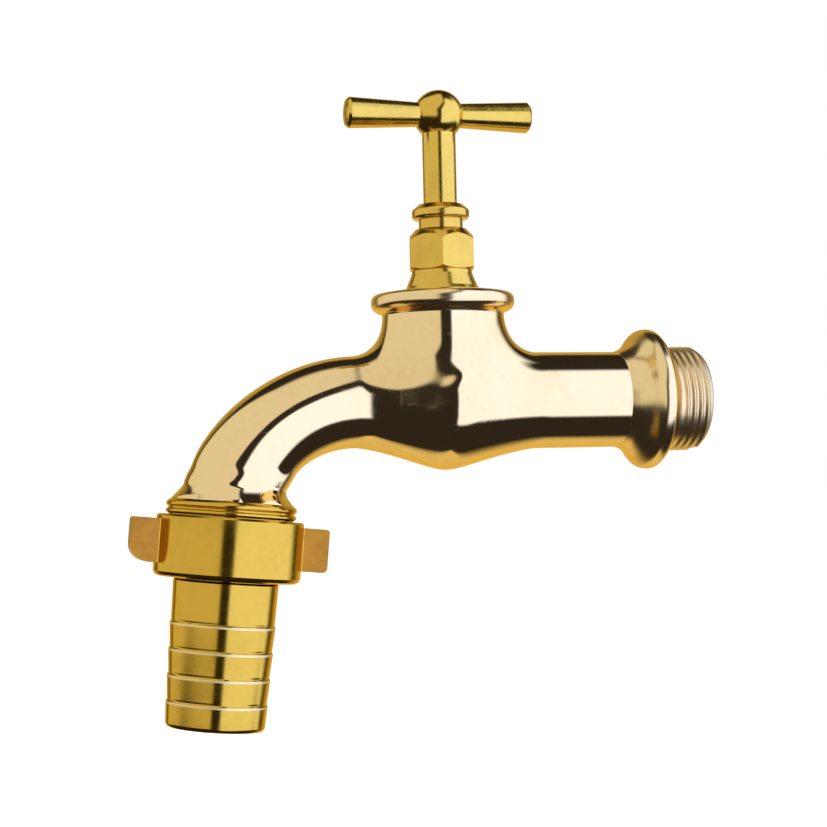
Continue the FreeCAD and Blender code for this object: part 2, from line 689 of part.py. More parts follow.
def make_union_nut():
    body = new_body("union_nut", **outlet_place())
    revolve(body, "turned", [
        (0, D.nut_top), (D.nut_radius - 0.5, D.nut_top), (D.nut_radius, D.nut_top - 0.5),
        (D.nut_radius, -D.nut_bottom + 1.2), (D.nut_radius - 0.4, -D.nut_bottom + 0.4),
        (D.nut_radius - 1.2, -D.nut_bottom), (0, -D.nut_bottom)])
    for side in NUT_LUG_SIDES:
        lug(body, side)
    revolve(body, "nut_bore", [
        (0, D.nut_top + 1.0), (D.nut_bore + 0.4, D.nut_top + 1.0),
        (D.nut_bore + 0.4, D.nut_top - 0.4), (D.nut_bore, D.nut_top - 0.8),
        (D.nut_bore, -D.nut_shoulder), (D.nut_throat, -D.nut_shoulder),
        (D.nut_throat, -D.nut_bottom - 1.0), (0, -D.nut_bottom - 1.0)], cut=True)


def make_hose_tail():
    """The barbed tail: each barb swells upwards and ends in a small step that grips the hose."""
    body = new_body("hose_tail", **outlet_place())
    flange_top = D.outlet_face + 0.03 + D.union_gasket_height
    flange_bottom = flange_top + D.tail_flange_height
    shrink = (D.tail_radius - D.tail_end_radius) * (1.0 / BARB_COUNT)
    barbs = []
    wall_above = D.tail_radius
    for number in range(BARB_COUNT):
        place = D.barb_start + D.barb_pitch * number
        crest = D.tail_radius - shrink * number
        barbs += [(wall_above, -place + 0.7), (crest - D.barb_step, -place + 0.1),
                  (crest, -place - 0.35)]
        wall_above = crest - D.barb_step * 0.7
    profile = [(D.tail_bore, -flange_top), (D.tail_flange_radius, -flange_top),
               (D.tail_flange_radius, -flange_bottom), (D.tail_neck_radius, -flange_bottom),
               (D.tail_neck_radius, -D.land_start + 0.3), (D.tail_radius, -D.land_start)]
    profile += barbs
    profile += [(wall_above - 0.1, -D.tail_end + 0.6), (wall_above - 0.6, -D.tail_end),
                (D.tail_bore, -D.tail_end)]
    revolve(body, "turned", profile)


def make_union_gasket():
    place = outlet_place()
    ring("union_gasket", D.union_gasket_bore, D.union_gasket_radius,
         -D.outlet_face - 0.01 - D.union_gasket_height, D.union_gasket_height, **place)


make_body()
make_bonnet()
packing_top = make_stem_packing()
make_gland_nut(packing_top)
make_spindle()
make_tee_handle()
make_jumper()
make_jumper_rings()
make_union_nut()
make_hose_tail()
make_union_gasket()
doc.recompute()

for item in doc.Objects:
    if "Invalid" in item.State or "Error" in item.State:
        raise SystemExit(f"{item.Label} did not build: {item.State}")

os.makedirs("parts", exist_ok=True)
for piece in doc.findObjects("PartDesign::Body"):
    shape = piece.Shape
    if shape.isNull() or not shape.isValid() or len(shape.Solids) != 1:
        raise SystemExit(f"{piece.Label} has no valid solid")
    shape.exportStep(f"parts/{piece.Label}.step")
    print(f"{piece.Label:20s} {shape.Volume:9.1f} mm3")
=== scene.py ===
import json
import math

import bmesh
import bpy
import numpy as np
from mathutils import Matrix, Vector


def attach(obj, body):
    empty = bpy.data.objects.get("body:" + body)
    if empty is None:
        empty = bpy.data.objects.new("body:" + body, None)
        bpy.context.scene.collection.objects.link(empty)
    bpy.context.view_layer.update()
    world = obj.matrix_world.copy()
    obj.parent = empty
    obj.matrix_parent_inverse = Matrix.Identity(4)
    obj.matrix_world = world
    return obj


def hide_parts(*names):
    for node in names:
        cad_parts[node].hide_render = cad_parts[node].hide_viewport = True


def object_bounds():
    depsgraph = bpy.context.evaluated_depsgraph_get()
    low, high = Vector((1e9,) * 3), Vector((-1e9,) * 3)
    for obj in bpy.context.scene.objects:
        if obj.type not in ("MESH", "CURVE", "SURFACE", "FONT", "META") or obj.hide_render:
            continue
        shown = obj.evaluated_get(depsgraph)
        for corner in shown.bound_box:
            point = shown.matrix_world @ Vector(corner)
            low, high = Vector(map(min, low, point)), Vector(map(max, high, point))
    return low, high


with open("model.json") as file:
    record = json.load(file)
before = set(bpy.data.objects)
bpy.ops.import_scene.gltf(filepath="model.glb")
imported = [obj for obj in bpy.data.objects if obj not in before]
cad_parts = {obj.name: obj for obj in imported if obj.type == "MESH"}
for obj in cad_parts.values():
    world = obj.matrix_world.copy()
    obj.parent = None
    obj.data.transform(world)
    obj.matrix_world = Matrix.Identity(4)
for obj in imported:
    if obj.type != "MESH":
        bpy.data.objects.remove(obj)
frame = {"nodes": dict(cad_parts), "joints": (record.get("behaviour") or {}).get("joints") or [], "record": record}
cad_low, cad_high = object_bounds()

MM = 0.001
joints = {joint["name"]: joint for joint in frame["joints"]}

# ---------------------------------------------------------------- places on the tap

tap_centre = Vector(joints["spindle_turn"]["pos_m"])
tap_centre.z = 0.0
outlet_down = Vector(joints["hose_tail_drop"]["axis"]).normalized()
outlet_point = Vector(joints["union_nut_turn"]["pos_m"])
pipe_axis = (Vector((0, 0, 0)), Vector((1, 0, 0)))
spindle_axis = (tap_centre, Vector((0, 0, 1)))
outlet_axis = (outlet_point, outlet_down)
handle_axis = (Vector(joints["spindle_turn"]["pos_m"]), Vector((1, 0, 0)))


# ---------------------------------------------------------------- shape building

def axis_matrix(axis):
    """Carries +Z onto an axis, and the origin onto its start."""
    origin, direction = axis
    turn = direction.to_track_quat("Z", "Y").to_matrix().to_4x4()
    return Matrix.Translation(origin) @ turn


def finish_piece(name, bm, body, stands_for, finish, crease=35):
    """Makes a mesh a shown piece that rides on a body and stands for a CAD node."""
    bmesh.ops.remove_doubles(bm, verts=bm.verts, dist=1e-7)
    bmesh.ops.recalc_face_normals(bm, faces=bm.faces)
    for face in bm.faces:
        face.smooth = True
    mesh = bpy.data.meshes.new(name)
    bm.to_mesh(mesh)
    bm.free()
    mesh.set_sharp_from_angle(angle=math.radians(crease))
    mesh.materials.append(finish)
    piece = bpy.data.objects.new(name, mesh)
    bpy.context.scene.collection.objects.link(piece)
    weights = piece.modifiers.new("even_shading", "WEIGHTED_NORMAL")
    weights.keep_sharp = True
    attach(piece, body)
    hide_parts(stands_for)
    return piece


def turned_bmesh(outline, axis, steps=160):
    """Turns an outline of (radius, place, corner rounding) in millimetres about an axis.

    An outline that starts and ends on the axis is solid; any other is closed into a ring.
    """
    bm = bmesh.new()
    corners = [bm.verts.new((radius * MM, 0, place * MM)) for radius, place, _ in outline]
    for first, second in zip(corners, corners[1:]):
        bm.edges.new((first, second))
    if outline[0][0] > 0 or outline[-1][0] > 0:
        bm.edges.new((corners[-1], corners[0]))
    roundings = sorted({rounding for _, _, rounding in outline if rounding > 0})
    for size in roundings:
        chosen = [corner for corner, row in zip(corners, outline) if row[2] == size]
        bmesh.ops.bevel(bm, geom=chosen, offset=size * MM, offset_type="OFFSET", segments=4,
                        profile=0.5, affect="VERTICES", material=-1, clamp_overlap=True)
    bmesh.ops.spin(bm, geom=bm.verts[:] + bm.edges[:], cent=(0, 0, 0), axis=(0, 0, 1),
                   dvec=(0, 0, 0), angle=math.tau, steps=steps, use_merge=True)
    bmesh.ops.remove_doubles(bm, verts=bm.verts, dist=1e-7)
    bmesh.ops.transform(bm, matrix=axis_matrix(axis), verts=bm.verts)
    return bm


def add_thread(bm, axis, crest, root, start, pitch, turns, steps=96):
    """Winds a V-shaped ridge round an axis, and closes its two ends."""
    ridge = bmesh.new()
    foot_half, crest_half, sunk = pitch * 0.46, pitch * 0.08, 0.15
    section = [(root - sunk, start - foot_half), (crest, start - crest_half),
               (crest, start + crest_half), (root - sunk, start + foot_half)]
    corners = [ridge.verts.new((radius * MM, 0, place * MM)) for radius, place in section]
    face = ridge.faces.new(corners)
    count = int(steps * turns)
    bmesh.ops.spin(ridge, geom=[face], cent=(0, 0, 0), axis=(0, 0, 1), angle=math.tau * turns,
                   dvec=(0, 0, pitch * MM / steps), steps=count, use_merge=False)
    bmesh.ops.recalc_face_normals(ridge, faces=ridge.faces)
    bmesh.ops.transform(ridge, matrix=axis_matrix(axis), verts=ridge.verts)
    wound = bpy.data.meshes.new("thread")
    ridge.to_mesh(wound)
    ridge.free()
    bm.from_mesh(wound)
    bpy.data.meshes.remove(wound)


# ---------------------------------------------------------------- the cast body

# millimetres, about the point where the spindle axis meets the pipe axis
PIPE_RADIUS = 12.0
BELLY_SWELL = 4.95
BELLY_REACH = 20.5
NECK_RADIUS = 15.0
NECK_BLEND = 9.0
SPOUT_RADIUS = 11.2
SPOUT_STRAIGHT = 22.4
FIRST_BEND = 34.4
SECOND_BEND = 14.7
SLIMMING_REACH = 22.0
WAIST_PLACE = 40.0
WAIST_REACH = 18.0
WAIST_DEPTH = 0.3
WALL = 3.0
SKIN_GRAIN = 0.75
INLET_CUT = 48.0
NECK_CUT = 23.6
# along the outlet, from its reference point to the casting's end and to the outlet's face
OUTLET_CUT = -4.5
OUTLET_FACE = 7.0
# hose tail and nut lugs
TAIL_RADIUS = 12.6
BARB_START = 24.0
BARB_PITCH = 6.2
BARB_CREST = 0.6
BARB_SHRINK = 0.16
BARB_COUNT = 4
LUG_START = 17.75
outlet_reference = (outlet_point - tap_centre) / MM - outlet_down * OUTLET_FACE
outlet_tilt = math.asin(-outlet_down.x)
union_axis = (tap_centre + outlet_reference * MM, outlet_down)


def bend_places():
    """Centres of the spout's two bends and the angle where one becomes the other."""
    first = Vector((-SPOUT_STRAIGHT, 0, -FIRST_BEND))
    normal = Vector((-math.cos(outlet_tilt), 0, math.sin(outlet_tilt)))
    offset = normal.dot(outlet_reference - first) - SECOND_BEND
    inner = FIRST_BEND - SECOND_BEND
    turn = math.asin(offset / inner) - outlet_tilt
    second = first + Vector((-math.sin(turn), 0, math.cos(turn))) * inner
    return first, second, turn


def spout_tube(bm):
    """A round bar along the pipe and the spout, made by extruding and spinning one circle."""
    first, second, turn = bend_places()
    spout_end = math.pi / 2 - outlet_tilt
    face_y = Matrix.Rotation(-math.pi / 2, 4, "Y")
    ring = bmesh.ops.create_circle(bm, cap_ends=True, segments=64, radius=SPOUT_RADIUS,
                                   matrix=Matrix.Translation((40, 0, 0)) @ face_y)
    face = ring["verts"][0].link_faces[0]
    grown = bmesh.ops.extrude_face_region(bm, geom=[face])["geom"]
    moved = [item for item in grown if isinstance(item, bmesh.types.BMVert)]
    bmesh.ops.translate(bm, verts=moved, vec=(-40 - SPOUT_STRAIGHT, 0, 0))
    front = [item for item in grown if isinstance(item, bmesh.types.BMFace)]
    for centre, angle in ((first, turn), (second, spout_end - turn)):
        spun = bmesh.ops.spin(bm, geom=front, cent=centre, axis=(0, -1, 0), dvec=(0, 0, 0),
                              angle=angle, steps=24, use_merge=False)
        front = [item for item in spun["geom_last"] if isinstance(item, bmesh.types.BMFace)]
    grown = bmesh.ops.extrude_face_region(bm, geom=front)["geom"]
    moved = [item for item in grown if isinstance(item, bmesh.types.BMVert)]
    bmesh.ops.translate(bm, verts=moved, vec=outlet_down * 8.0)


def along_spine(points):
    """Distance of each point from the spine, and how far along it the nearest place lies."""
    first, second, turn = bend_places()
    spout_end = math.pi / 2 - outlet_tilt
    reach = np.clip(points[:, 0], -SPOUT_STRAIGHT, 80.0)
    near = [np.stack([reach, 0 * reach, 0 * reach], 1)]
    place = [-reach]
    covered = SPOUT_STRAIGHT
    for centre, radius, low, high in ((first, FIRST_BEND, 0.0, turn),
                                      (second, SECOND_BEND, turn, spout_end)):
        offset = points - np.array(centre)
        angle = np.clip(np.arctan2(-offset[:, 0], offset[:, 2]), low, high)
        spot = np.stack([-np.sin(angle), 0 * angle, np.cos(angle)], 1) * radius
        near.append(spot + np.array(centre))
        place.append(covered + (angle - low) * radius)
        covered += (high - low) * radius
    bend_end = np.array(second) + np.array(
        (-math.sin(spout_end), 0, math.cos(spout_end))) * SECOND_BEND
    run = np.clip((points - bend_end) @ np.array(outlet_down), 0.0, 30.0)
    near.append(bend_end + run[:, None] * np.array(outlet_down))
    place.append(covered + run)
    distances = np.stack([np.linalg.norm(points - spot, axis=1) for spot in near])
    chosen = np.argmin(distances, axis=0)
    rows = np.arange(len(points))
    return distances[chosen, rows], np.stack(place)[chosen, rows], covered


def spine_radius(place, covered):
    """The casting's radius along its spine: plain pipe, swollen belly, slim spout."""
    rounded = np.sqrt(place ** 2 + 9.0) - 3.0
    swell = BELLY_SWELL * np.clip(1 - rounded / BELLY_REACH, 0, 1) ** 1.35
    slim = np.clip(place / SLIMMING_REACH, 0, 1)
    radius = PIPE_RADIUS - (PIPE_RADIUS - SPOUT_RADIUS) * slim * slim * (3 - 2 * slim) + swell
    waist = np.clip(1 - np.abs(place - WAIST_PLACE) / WAIST_REACH, 0, 1)
    return radius - WAIST_DEPTH * waist * waist * (3 - 2 * waist)


def outlet_radius(points):
    """The flare that widens the spout to the outlet thread."""
    down = (points - np.array(outlet_reference)) @ np.array(outlet_down)
    places = [-40.0, -12.0, -9.6, -8.4, -6.9, -5.4, -4.4, 20.0]
    radii = [0.0, 10.6, 11.2, 11.75, 12.8, 14.0, 15.0, 15.3]
    return np.interp(down, places, radii)


def body_field(points):
    """Below zero inside the cast body's outer skin, in millimetres about the tap's centre."""
    gap, place, covered = along_spine(points)
    flare = outlet_radius(points)
    plain = spine_radius(place, covered)
    widest = np.maximum(plain, flare) + 0.6 * np.exp(-((plain - flare) / 0.5) ** 2)
    pipe = gap - np.where(points[:, 0] < -30, widest, plain)
    side = np.hypot(points[:, 0], points[:, 1])
    neck = side - NECK_RADIUS
    low = -points[:, 2]
    neck = np.hypot(np.maximum(neck, 0), np.maximum(low, 0)) + np.minimum(np.maximum(neck, low), 0)
    level = points[:, 2] / np.maximum(np.hypot(points[:, 1], points[:, 2]), 1e-6)
    facing = (points[:, 1] / np.maximum(side, 1e-6)) ** 2 * np.sqrt(np.maximum(1 - level ** 2, 0))
    blend = np.maximum(NECK_BLEND * np.clip(1.05 - facing, 0.05, 1), 0.1)
    mixed = np.maximum(blend - np.abs(pipe - neck), 0) / blend
    return np.minimum(pipe, neck) - mixed * mixed * blend / 4


def settle(points, rounds):
    """Moves points along the field's slope until they lie on the body's outer skin."""
    step = 0.02
    for _ in range(rounds):
        value = body_field(points)
        slope = np.stack([
            (body_field(points + axis * step) - body_field(points - axis * step)) / (2 * step)
            for axis in np.eye(3)], 1)
        size = np.maximum((slope ** 2).sum(1), 0.2)
        points = points - np.clip(value / size, -1.5, 1.5)[:, None] * slope
    return points


def make_body_skin(finish):
    """The cast body: pipe, belly, neck and spout in one skin, hollowed to an even wall."""
    rough = bmesh.new()
    neck_length, pipe_length, belly_radius = 28, 52, 15.5
    upright = Matrix.Translation((0, 0, neck_length / 2))
    lying = Matrix.Translation((pipe_length / 2, 0, 0)) @ Matrix.Rotation(math.pi / 2, 4, "Y")
    bmesh.ops.create_cone(rough, cap_ends=True, segments=96, radius1=NECK_RADIUS,
                          radius2=NECK_RADIUS, depth=neck_length, matrix=upright)
    bmesh.ops.create_cone(rough, cap_ends=True, segments=96, radius1=PIPE_RADIUS,
                          radius2=PIPE_RADIUS, depth=pipe_length, matrix=lying)
    bmesh.ops.create_uvsphere(rough, u_segments=64, v_segments=32, radius=belly_radius)
    spout_tube(rough)
    bmesh.ops.transform(rough, matrix=Matrix.Scale(MM, 4), verts=rough.verts)
    bmesh.ops.recalc_face_normals(rough, faces=rough.faces)
    blank = bpy.data.meshes.new("body_blank")
    rough.to_mesh(blank)
    rough.free()
    former = bpy.data.objects.new("body_blank", blank)
    bpy.context.scene.collection.objects.link(former)
    remesh = former.modifiers.new("skin", "REMESH")
    remesh.mode = "VOXEL"
    remesh.voxel_size = SKIN_GRAIN * MM
    skinned = former.evaluated_get(bpy.context.evaluated_depsgraph_get())
    bm = bmesh.new()
    bm.from_mesh(skinned.to_mesh())
    bpy.data.objects.remove(former)
    # the skin is settled, then eased and settled again until its facets are even
    for eased, rounds in ((False, 4), (True, 2), (True, 2), (True, 3)):
        if eased:
            bmesh.ops.smooth_vert(bm, verts=bm.verts, factor=0.5, use_axis_x=True,
                                  use_axis_y=True, use_axis_z=True)
        points = np.array([vert.co for vert in bm.verts]) / MM
        for vert, spot in zip(bm.verts, settle(points, rounds)):
            vert.co = Vector(spot) * MM
    cuts = ((Vector((INLET_CUT, 0, 0)), Vector((1, 0, 0))),
            (Vector((0, 0, NECK_CUT)), Vector((0, 0, 1))),
            (outlet_reference + outlet_down * OUTLET_CUT, outlet_down))
    for place, normal in cuts:
        geometry = bm.verts[:] + bm.edges[:] + bm.faces[:]
        bmesh.ops.bisect_plane(bm, geom=geometry, dist=1e-7, plane_co=place * MM,
                               plane_no=normal, clear_outer=True)
    bmesh.ops.translate(bm, verts=bm.verts, vec=tap_centre)
    skin = finish_piece("body_casting", bm, "tap_body", "body", finish, 60)
    wall = skin.modifiers.new("wall", "SOLIDIFY")
    wall.thickness = WALL * MM
    wall.offset = -1.0
    skin.modifiers.move(1, 0)


def make_body_ends(buffed, turned, threaded):
    """The rim round the neck, the collar and wall thread, and the outlet ring and thread."""
    rim = turned_bmesh([
        (14.2, 21.2, 0), (15.0, 21.2, 0), (15.25, 21.75, 0.2), (16.4, 22.15, 0.3),
        (17.69, 23.0, 1.0), (17.69, 25.9, 1.2), (16.3, 26.6, 0.6), (13.6, 26.6, 0.2),
        (13.6, 24.2, 0), (12.2, 24.2, 0), (12.2, 21.2, 0)], spindle_axis, 192)
    finish_piece("neck_rim", rim, "tap_body", "body", buffed)

    pipe = (tap_centre, pipe_axis[1])
    collar = turned_bmesh([
        (9.0, 40.0, 0), (11.4, 40.0, 0), (11.4, 45.0, 0), (12.02, 45.0, 0.1),
        (13.4, 48.4, 2.0), (16.5, 50.6, 0.8), (17.25, 51.3, 0.5), (17.69, 52.4, 0.6),
        (17.69, 54.0, 0.8), (16.6, 55.2, 0.7), (14.0, 57.1, 0.5), (12.6, 57.4, 0),
        (9.0, 57.4, 0)], pipe, 192)
    finish_piece("inlet_collar", collar, "tap_body", "body", buffed)

    inlet = turned_bmesh([
        (9.0, 57.4, 0), (13.1, 57.4, 0), (12.7, 57.9, 0.2), (12.7, 65.7, 0.4),
        (11.75, 67.0, 0.4), (9.8, 67.0, 0.2), (9.0, 66.2, 0.2)], pipe, 160)
    add_thread(inlet, pipe, 13.22, 12.7, 58.6, 1.814, 3.7)
    finish_piece("inlet_thread", inlet, "tap_body", "body", turned)

    ring = turned_bmesh([
        (9.0, -4.8, 0), (14.6, -4.8, 0), (15.0, -4.5, 0), (15.55, -4.0, 0.3),
        (15.65, -3.2, 0.3), (15.1, -2.9, 0.1), (15.1, -2.5, 0.1), (15.6, -2.2, 0.15),
        (15.6, -1.6, 0.15), (14.9, -1.3, 0.1), (14.75, 6.2, 0.1),
        (14.0, 7.0, 0.2), (9.0, 7.0, 0.3)], union_axis, 160)
    add_thread(ring, union_axis, 15.65, 14.75, 0.0, 2.0, 2.6)
    finish_piece("outlet_ring", ring, "tap_body", "body", threaded)


def make_seat_bridge(finish):
    """The valve seat on its bridge, and the dam that sends the water down below the seat."""
    seat = turned_bmesh([
        (6.5, -1.5, 0.2), (6.5, 3.0, 0.15), (8.1, 3.0, 0.2), (9.1, 1.5, 0.3), (13.4, 1.5, 0),
        (13.4, -1.5, 0)], spindle_axis, 96)
    dam_thickness, dam_width, dam_height = 2.0, 17.0, 8.6
    dam_place = Matrix.Translation(tap_centre + Vector((12.2, 0, 5.5)) * MM)
    dam_size = Matrix.Diagonal((dam_thickness * MM, dam_width * MM, dam_height * MM, 1))
    bmesh.ops.create_cube(seat, size=1.0, matrix=dam_place @ dam_size)
    finish_piece("seat_bridge", seat, "tap_body", "body", finish)


def make_hose_tail_piece(finish):
    """The hose tail, with a rounded ridge at the top of each barb."""
    outline = [(9.8, 9.2, 0.15), (14.8, 9.2, 0.2), (14.8, 11.4, 0.3), (12.3, 11.4, 0.3),
               (12.3, 14.0, 0.1), (12.6, 14.4, 0.15)]
    for number in range(BARB_COUNT):
        place = BARB_START + BARB_PITCH * number
        crest = TAIL_RADIUS - BARB_SHRINK * number
        outline += [(crest - 0.22, place - 0.5, 0.1), (crest - 0.3, place - 0.05, 0.1),
                    (crest, place + 0.3, 0.15), (crest, place + 0.8, 0.15)]
    end = TAIL_RADIUS - BARB_SHRINK * BARB_COUNT
    outline += [(end - 0.1, 48.2, 0.3), (end - 0.6, 48.9, 0.2), (9.8, 48.9, 0.4)]
    tail = turned_bmesh(outline, union_axis, 160)
    finish_piece("hose_tail_turned", tail, "hose_tail_set", "hose_tail", finish)


# ---------------------------------------------------------------- shader building

class Shader:
    """A node tree with short ways to add and join nodes."""

    def __init__(self, tree):
        self.tree = tree

    def add(self, kind, values=None, **settings):
        node = self.tree.nodes.new("ShaderNode" + kind)
        for name, value in settings.items():
            setattr(node, name, value)
        for socket, value in (values or {}).items():
            self.feed(node.inputs[socket], value)
        return node

    def feed(self, socket, value):
        if isinstance(value, bpy.types.NodeSocket):
            self.tree.links.new(value, socket)
        else:
            socket.default_value = value

    def math(self, operation, first, second=0.0, third=0.0, clamp=False):
        values = {0: first, 1: second, 2: third}
        return self.add("Math", values, operation=operation, use_clamp=clamp).outputs[0]

    def vector(self, operation, first, second=(0.0, 0.0, 0.0), scale=1.0):
        values = {0: first, 3: scale} if operation == "SCALE" else {0: first, 1: second}
        node = self.add("VectorMath", values, operation=operation)
        return node.outputs["Value" if operation in ("DOT_PRODUCT", "LENGTH") else "Vector"]

    def noise(self, place, scale, detail=3.0, roughness=0.5):
        values = {"Vector": place, "Scale": scale, "Detail": detail, "Roughness": roughness}
        return self.add("TexNoise", values).outputs["Fac"]

    def between(self, value, low, high, to_low=0.0, to_high=1.0):
        values = {"Value": value, "From Min": low, "From Max": high,
                  "To Min": to_low, "To Max": to_high}
        return self.add("MapRange", values, interpolation_type="SMOOTHSTEP").outputs[0]

    def mix(self, share, first, second):
        # sockets 6 and 7 are the two colours, and output 2 is the mixed one
        return self.add("Mix", {0: share, 6: first, 7: second}, data_type="RGBA").outputs[2]


def shader_group(name, inputs, outputs):
    """An empty node group with these sockets: (its Shader, the inputs, the output node)."""
    tree = bpy.data.node_groups.new(name, "ShaderNodeTree")
    for label, kind, default in inputs:
        socket = tree.interface.new_socket(label, in_out="INPUT", socket_type="NodeSocket" + kind)
        socket.default_value = default
    for label, kind in outputs:
        tree.interface.new_socket(label, in_out="OUTPUT", socket_type="NodeSocket" + kind)
    shader = Shader(tree)
    entry = tree.nodes.new("NodeGroupInput")
    return shader, entry.outputs, tree.nodes.new("NodeGroupOutput")


def make_axis_group():
    """Where a point lies on a turned piece: along its axis, and away from it."""
    s, given, result = shader_group(
        "turning_place",
        [("Origin", "Vector", (0, 0, 0)), ("Direction", "Vector", (0, 0, 1))],
        [("Along", "Float"), ("Radius", "Float"), ("Place", "Vector")])
    place = s.add("TexCoord").outputs["Object"]
    offset = s.vector("SUBTRACT", place, given["Origin"])
    along = s.vector("DOT_PRODUCT", offset, given["Direction"])
    foot = s.vector("SCALE", given["Direction"], scale=along)
    radial = s.vector("SUBTRACT", offset, foot)
    s.feed(result.inputs["Along"], along)
    s.feed(result.inputs["Radius"], s.vector("LENGTH", radial))
    s.feed(result.inputs["Place"], place)
    return s.tree


def make_tarnish_group():
    """Slow changes of colour and gloss where brass has been handled and has dulled."""
    s, given, result = shader_group(
        "brass_tarnish",
        [("Place", "Vector", (0, 0, 0)), ("Size", "Float", 60.0), ("Amount", "Float", 0.3),
         ("Bright", "Color", (0.8, 0.6, 0.3, 1)), ("Dull", "Color", (0.5, 0.3, 0.1, 1))],
        [("Color", "Color"), ("Dullness", "Float")])
    broad = s.noise(given["Place"], given["Size"], 4.0, 0.6)
    fine = s.noise(given["Place"], s.math("MULTIPLY", given["Size"], 9.0), 3.0, 0.6)
    both = s.math("ADD", s.math("MULTIPLY", broad, 0.7), s.math("MULTIPLY", fine, 0.3))
    dull = s.between(both, 0.42, 0.72)
    share = s.math("MULTIPLY", dull, given["Amount"], clamp=True)
    s.feed(result.inputs["Color"], s.mix(share, given["Bright"], given["Dull"]))
    s.feed(result.inputs["Dullness"], dull)
    return s.tree


def make_scratch_group():
    """Hairline polishing marks in two directions, with a scatter of small nicks."""
    s, given, result = shader_group(
        "polish_marks",
        [("Place", "Vector", (0, 0, 0)), ("Fineness", "Float", 900.0)],
        [("Height", "Float"), ("Marks", "Float")])
    lines = []
    for stretch, turn in (((0.05, 1.0, 1.0), 0.5), ((1.0, 1.0, 0.06), -0.9)):
        mapped = s.add("Mapping", {"Vector": given["Place"], "Rotation": (turn, turn * 0.6, 0.3),
                                   "Scale": stretch}).outputs[0]
        line = s.noise(mapped, given["Fineness"], 2.0, 0.6)
        lines.append(s.between(line, 0.60, 0.75))
    marks = s.math("MAXIMUM", lines[0], lines[1])
    nick = s.add("TexVoronoi", {"Vector": given["Place"],
                                "Scale": s.math("MULTIPLY", given["Fineness"], 0.22)})
    nicks = s.between(nick.outputs["Distance"], 0.05, 0.12, 1.0, 0.0)
    wanted = s.between(s.noise(given["Place"], 140.0, 1.0), 0.58, 0.66)
    nicks = s.math("MULTIPLY", nicks, wanted)
    ripple = s.math("MULTIPLY", s.noise(given["Place"], 95.0, 2.0), 1.4)
    height = s.math("SUBTRACT", ripple, s.math("MULTIPLY", marks, 0.025))
    s.feed(result.inputs["Height"], s.math("SUBTRACT", height, s.math("MULTIPLY", nicks, 0.15)))
    s.feed(result.inputs["Marks"], s.math("MAXIMUM", marks, nicks))
    return s.tree


def make_lathe_group():
    """Rings left by the turning tool, close and uneven, with chatter round them."""
    s, given, result = shader_group(
        "tool_rings",
        [("Along", "Float", 0.0), ("Radius", "Float", 0.0), ("Place", "Vector", (0, 0, 0)),
         ("Pitch", "Float", 0.0003)],
        [("Height", "Float"), ("Marks", "Float")])
    feed = s.math("ADD", given["Along"], s.math("MULTIPLY", given["Radius"], 0.8))
    turns = s.math("DIVIDE", feed, given["Pitch"])
    uneven = s.add("CombineXYZ", {0: s.math("MULTIPLY", turns, 0.37), 1: 0.0, 2: 0.0}).outputs[0]
    depth = s.noise(uneven, 1.0, 2.0, 0.7)
    coarse = s.add("CombineXYZ", {0: s.math("MULTIPLY", turns, 0.06), 1: 3.0, 2: 0.0}).outputs[0]
    bands = s.noise(coarse, 1.0, 3.0, 0.6)
    wave = s.math("SINE", s.math("MULTIPLY", turns, math.tau))
    ring = s.math("MULTIPLY", s.math("MULTIPLY_ADD", wave, 0.5, 0.5), depth)
    chatter = s.noise(given["Place"], 700.0, 2.0, 0.6)
    height = s.math("ADD", s.math("ADD", ring, s.math("MULTIPLY", chatter, 0.25)), bands)
    s.feed(result.inputs["Height"], height)
    s.feed(result.inputs["Marks"], s.between(s.math("MULTIPLY", bands, depth), 0.12, 0.42))
    return s.tree


def make_grit_group():
    """Grain of moulded, pressed or braided stuff."""
    s, given, result = shader_group(
        "grit",
        [("Place", "Vector", (0, 0, 0)), ("Size", "Float", 1500.0),
         ("Base", "Color", (0.1, 0.1, 0.1, 1)), ("Worn", "Color", (0.2, 0.2, 0.2, 1))],
        [("Color", "Color"), ("Height", "Float"), ("Grain", "Float")])
    grain = s.noise(given["Place"], given["Size"], 4.0, 0.65)
    broad = s.noise(given["Place"], s.math("MULTIPLY", given["Size"], 0.12), 3.0)
    s.feed(result.inputs["Color"], s.mix(s.between(broad, 0.4, 0.7), given["Base"], given["Worn"]))
    s.feed(result.inputs["Height"], grain)
    s.feed(result.inputs["Grain"], s.between(grain, 0.3, 0.7))
    return s.tree


def make_crest_and_cast_group():
    """Masks for ridges that repeat along an axis, where a highlight is painted, and for what stands out beyond a
    radius.
    """
    s, given, result = shader_group(
        "crest_highlight_and_cast",
        [("Along", "Float", 0.0), ("Radius", "Float", 0.0), ("Start", "Float", 0.0),
         ("Pitch", "Float", 0.006), ("Width", "Float", 0.0006), ("Beyond", "Float", 1.0)],
        [("Ridges", "Float"), ("Outside", "Float")])
    turns = s.math("DIVIDE", s.math("SUBTRACT", given["Along"], given["Start"]), given["Pitch"])
    offset = s.math("SUBTRACT", turns, s.math("ROUND", turns))
    offset = s.math("MULTIPLY", s.math("ABSOLUTE", offset), given["Pitch"])
    ridge = s.between(offset, s.math("MULTIPLY", given["Width"], 0.5), given["Width"], 1.0, 0.0)
    started = s.math("GREATER_THAN", turns, -0.5)
    s.feed(result.inputs["Ridges"], s.math("MULTIPLY", ridge, started))
    s.feed(result.inputs["Outside"], s.math("GREATER_THAN", given["Radius"], given["Beyond"]))
    return s.tree


axis_group = make_axis_group()
crest_and_cast_group = make_crest_and_cast_group()
tarnish_group = make_tarnish_group()
scratch_group = make_scratch_group()
lathe_group = make_lathe_group()
grit_group = make_grit_group()


